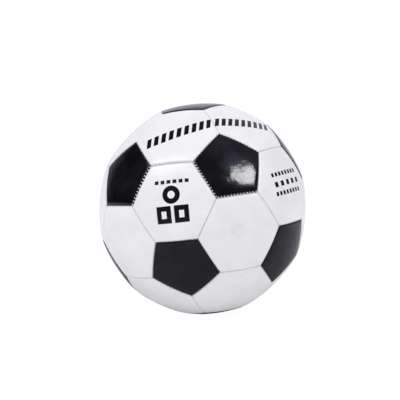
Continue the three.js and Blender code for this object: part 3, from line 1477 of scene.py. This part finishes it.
@dataclass
class Valve:
    """The rubber valve housing and its core, turned about the valve's axis.

    aside is a direction well off that axis, from which the turning starts.
    """

    form: BallForm
    pattern: PanelPattern
    paints: Paints
    around: int = 64
    aside: tuple[float, float, float] = (0.3, 0.2, 1.0)

    def axis(self) -> np.ndarray:
        """The axis of the white outline that lies over the valve's node.

        Returns:
            A direction in the pattern's frame.
        """
        low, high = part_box("valve_core")
        there = unit(np.array(low + high) / 2)
        axes = [outline.axis for outline in self.pattern.white]
        return max(axes, key=lambda axis: float(unit(self.form.place(axis)) @ there))

    def turned(self, node: str, profile: Sequence[tuple[float, float]]) -> bpy.types.Object:
        """Turns a profile of radius and height about the valve's axis, in place of a node.

        A profile that starts and ends on the axis is closed by two poles, any other by its own first ring.

        Args:
            node: The node that the piece stands for.
            profile: Points of radius and height, in millimetres.

        Returns:
            The piece.
        """
        z = self.axis()
        x = unit(np.cross(self.aside, z))
        y = np.cross(z, x)
        turn = np.arange(self.around) * 2 * np.pi / self.around
        circle = np.cos(turn)[:, None] * x + np.sin(turn)[:, None] * y
        radius, height = (np.array(profile) * MM).T
        points = radius[:, None, None] * circle[None] + height[:, None, None] * z
        parts = MeshParts()
        if profile[0][0] > 0:
            parts.add_points(self.form.place(points))
            parts.join_rings(0, len(profile), self.around, closed=True)
        else:
            parts.add_points(self.form.place(points[1:-1]))
            parts.join_rings(0, len(profile) - 2, self.around)
            for end, ring, outward in ((0, 0, True), (-1, len(profile) - 3, False)):
                pole = parts.add_points(self.form.place(points[end, :1]))
                parts.close_pole(ring * self.around, self.around, pole, outward)
        piece = parts.build(f"{node}_fine", self.paints.of(VALVE_RUBBER))
        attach(piece, BODY)
        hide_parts(node)
        return piece

    def build(self) -> list[bpy.types.Object]:
        """Builds the housing and the core.

        Returns:
            The pieces.
        """
        return [self.turned("valve_body", HOUSING_PROFILE), self.turned("valve_core", CORE_PROFILE)]


@dataclass
class Insides:
    """The hidden pieces that keep the frame's shape and get their finish."""

    paints: Paints

    def dress(self) -> None:
        """Gives the bladder and the valve's patch their finishes."""
        for node, finish in (("bladder", BLADDER_RUBBER), ("valve_patch", PATCH_CLOTH)):
            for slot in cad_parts[node].material_slots:
                slot.material = self.paints.of(finish)


# ---------------------------------------------------------------------------------------------------------
# Studio
# ---------------------------------------------------------------------------------------------------------


def way_to(azimuth: float, elevation: float) -> np.ndarray:
    """Turns two angles in degrees into a direction.

    Args:
        azimuth: The turn about the vertical: 0 is the camera's side, and 90 its right.
        elevation: The height above the horizon.

    Returns:
        A unit direction.
    """
    a, e = math.radians(azimuth), math.radians(elevation)
    return np.array([math.sin(a) * math.cos(e), -math.cos(a) * math.cos(e), math.sin(e)])


@dataclass(frozen=True)
class SoftLamp:
    """A round lamp so far away that it lights the whole floor evenly; width is the angle that it fills."""

    name: str
    azimuth: float
    elevation: float
    width: float
    strength: float
    mirrored: bool = True

    def build(self) -> None:
        """Places the lamp."""
        lamp = bpy.data.lights.new(self.name, "SUN")
        lamp.angle = math.radians(self.width)
        lamp.energy = self.strength * math.pi
        holder = bpy.data.objects.new(self.name, lamp)
        holder.rotation_euler = (math.radians(90 - self.elevation), 0.0, math.radians(self.azimuth))
        holder.visible_glossy = self.mirrored
        bpy.context.collection.objects.link(holder)


@dataclass(frozen=True)
class SoftPart:
    """A round, soft-edged part of the surround; full and edge are angles from its middle, in degrees."""

    azimuth: float
    elevation: float
    full: float
    edge: float
    colour: Colour

    def over(self, tree: ShaderTree, way: bpy.types.NodeSocket, under: Any) -> bpy.types.NodeSocket:
        """Lays this part over what is already there.

        Args:
            tree: The surround's tree.
            way: The direction that is looked up.
            under: The colour below.

        Returns:
            The colour with this part on it.
        """
        middle = tuple(way_to(self.azimuth, self.elevation))
        facing = tree.node("ShaderNodeVectorMath", {"operation": "DOT_PRODUCT"}, {0: way, 1: middle})
        full, edge = math.cos(math.radians(self.full)), math.cos(math.radians(self.edge))
        share = ((tree.value(facing.outputs["Value"]) - edge) / (full - edge)).held()
        return tree.mix(share, under, self.colour)


@dataclass(frozen=True)
class Floor:
    """A wide level disc of pale matt paint under the ball, which glows and so hides its own edge.

    The glow that the eye sees washes out the ball's shadow on the floor with painted light, and a weaker
    glow lights the ball from below. What gloss mirrors of it is darker in front of the ball than behind it.
    """

    around: int = 96
    radii: tuple[float, ...] = (0.25, 1.0, 5.0, 40.0)
    paint: Colour = (0.92, 0.92, 0.93)
    paint_shade: Colour = (0.95, 0.95, 0.96)
    blotch: float = 0.4
    mirrored_near: Colour = (0.315, 0.315, 0.355)
    mirrored_behind: Colour = (0.69, 0.69, 0.77)
    behind_from: float = 0.02
    behind_over: float = 0.25
    glow: float = 1.04
    glow_seen: float = 0.93
    glow_on_ball: float = 0.43

    def build(self) -> None:
        """Makes the disc from rings round one middle vertex."""
        turn = np.arange(self.around) * 2 * np.pi / self.around
        ring = np.stack([np.cos(turn), np.sin(turn), np.zeros(self.around)], -1)
        foot = np.array([[0, 0, CAD_BOX[0].z]])
        parts = MeshParts()
        parts.add_points(ring[None] * np.array(self.radii)[:, None, None] + foot)
        parts.join_rings(0, len(self.radii), self.around)
        pole = parts.add_points(foot)
        parts.close_pole(0, self.around, pole, True)
        parts.build("floor", self.dress())

    def dress(self) -> bpy.types.Material:
        """Makes the floor's paint: matt and glow are mixed by the kind of ray that meets it.

        Returns:
            The material.
        """
        material, tree = blank_material("floor_paint")
        rays = tree.node("ShaderNodeLightPath", {}, {}).outputs
        split = tree.node("ShaderNodeSeparateXYZ", {}, {"Vector": tree.coordinates()})
        behind = ((tree.value(split.outputs["Y"]) - self.behind_from) / self.behind_over).held()
        mirrored = tree.mix(behind, self.mirrored_near, self.mirrored_behind)
        paint = tree.mix(tree.noise(self.blotch, detail=3), self.paint, self.paint_shade)
        seen = tree.mix(tree.value(rays["Is Glossy Ray"]), paint, mirrored)
        matt = tree.node("ShaderNodeBsdfDiffuse", {}, {"Color": seen})
        glow = tree.node("ShaderNodeEmission", {}, {"Color": (1.0, 1.0, 1.0, 1.0), "Strength": self.glow})
        # Painted light: the glow that the eye sees washes out the ball's shadow; the glow that diffuse rays
        # meet lights the ball from below.
        to_eye = tree.value(rays["Is Camera Ray"]) * self.glow_seen
        to_ball = tree.value(rays["Is Diffuse Ray"]) * self.glow_on_ball
        inputs = {0: to_eye + to_ball, 1: matt.outputs["BSDF"], 2: glow.outputs["Emission"]}
        both = tree.node("ShaderNodeMixShader", {}, inputs)
        tree.node("ShaderNodeOutputMaterial", {}, {"Surface": both.outputs["Shader"]})
        return material


@dataclass(frozen=True)
class Surround:
    """White to the eye. It lights the ball like a tent, while gloss mirrors a dark room with pale parts."""

    tent: Colour = (0.53, 0.53, 0.545)
    tent_parts: tuple[SoftPart, ...] = (
        SoftPart(azimuth=180, elevation=5, full=20, edge=100, colour=(0.82, 0.82, 0.86)),
        SoftPart(azimuth=0, elevation=85, full=15, edge=60, colour=(0.98, 0.98, 0.99)),
        SoftPart(azimuth=0, elevation=0, full=15, edge=62, colour=(0.405, 0.405, 0.41)),
    )
    room: Colour = (0.07, 0.07, 0.078)
    room_parts: tuple[SoftPart, ...] = (
        SoftPart(azimuth=-92, elevation=22, full=26, edge=46, colour=(0.010, 0.010, 0.014)),
        SoftPart(azimuth=176, elevation=2, full=20, edge=60, colour=(0.71, 0.71, 0.82)),
        SoftPart(azimuth=100, elevation=60, full=12, edge=44, colour=(0.26, 0.26, 0.31)),
        SoftPart(azimuth=51, elevation=46, full=3, edge=13, colour=(0.72, 0.80, 1.12)),
        SoftPart(azimuth=61, elevation=37.3, full=4, edge=7.5, colour=(16.5, 16.5, 16.8)),
        SoftPart(azimuth=54, elevation=38, full=4, edge=8, colour=(16.5, 16.5, 16.8)),
        SoftPart(azimuth=48, elevation=40, full=3, edge=7, colour=(15.0, 15.0, 15.3)),
    )

    def build(self) -> None:
        """Makes the world: the parts are laid over the tent and the room, which are told apart by the ray."""
        world = bpy.data.worlds.new("surround")
        bpy.context.scene.world = world
        world.use_nodes = True
        tree = ShaderTree(world.node_tree)
        way = tree.node("ShaderNodeTexCoord", {}, {}).outputs["Generated"]
        mirrored: Any = self.room
        for part in self.room_parts:
            mirrored = part.over(tree, way, mirrored)
        tent: Any = self.tent
        for part in self.tent_parts:
            tent = part.over(tree, way, tent)
        rays = tree.node("ShaderNodeLightPath", {}, {}).outputs
        light = tree.mix(tree.value(rays["Is Glossy Ray"]), tent, mirrored)
        colour = tree.mix(tree.value(rays["Is Camera Ray"]), light, (1.0, 1.0, 1.0))
        back = tree.node("ShaderNodeBackground", {}, {"Color": colour, "Strength": 1.0})
        tree.node("ShaderNodeOutputWorld", {}, {"Surface": back.outputs["Background"]})


@dataclass(frozen=True)
class LongLens:
    """A camera with a long lens, a little above the ball's middle.

    The ball's radius and the shift are shares of the image's width.
    """

    elevation: float = math.radians(5.6)
    distance: float = 2.2
    ball_radius: float = 110 * MM
    radius_share: float = 0.2625
    shift: tuple[float, float] = (-0.00615, 0.021375)
    sensor: float = 36.0
    clip: tuple[float, float] = (0.1, 100.0)

    def build(self) -> None:
        """Places the camera; the focal length follows from the angle between the axis and the ball's limb."""
        data = bpy.data.cameras.new("camera")
        data.sensor_width = self.sensor
        data.lens = self.radius_share * self.sensor * math.sqrt((self.distance / self.ball_radius) ** 2 - 1)
        data.shift_x, data.shift_y = self.shift
        data.clip_start, data.clip_end = self.clip
        camera = bpy.data.objects.new("camera", data)
        camera.location = way_to(0.0, math.degrees(self.elevation)) * self.distance
        camera.rotation_euler = (math.pi / 2 - self.elevation, 0.0, 0.0)
        bpy.context.collection.objects.link(camera)
        bpy.context.scene.camera = camera


@dataclass(frozen=True)
class Studio:
    """A seamless pale floor, a pale surround, two soft lamps and the camera."""

    floor: Floor = Floor()
    surround: Surround = Surround()
    camera: LongLens = LongLens()
    lamps: tuple[SoftLamp, ...] = (
        SoftLamp("key", azimuth=-54, elevation=46, width=34, strength=0.33),
        SoftLamp("side", azimuth=62, elevation=42, width=20, strength=0.22, mirrored=False),
    )

    def build(self) -> None:
        """Builds the floor, the surround, the lamps and the camera, and sets plain colours for the view."""
        self.floor.build()
        self.surround.build()
        for lamp in self.lamps:
            lamp.build()
        self.camera.build()
        view = bpy.context.scene.view_settings
        view.view_transform = "Standard"
        view.look = "None"


# ---------------------------------------------------------------------------------------------------------
# The whole ball
# ---------------------------------------------------------------------------------------------------------


def main() -> None:
    """Builds the studio, the cover, the stitches and the valve, and reports each piece."""
    logging.basicConfig(level=logging.INFO, format="%(name)s: %(message)s")
    form, pattern, paints = BallForm(), PanelPattern(), Paints()
    Studio().build()
    pieces = Cover(form, pattern, paints).build()
    pieces += Stitching(form, pattern, paints).build()
    pieces += Valve(form, pattern, paints).build()
    Insides(paints).dress()
    for piece in pieces:
        LOG.info("%s: %d faces", piece.name, len(piece.data.polygons))


if __name__ == "__main__":
    main()
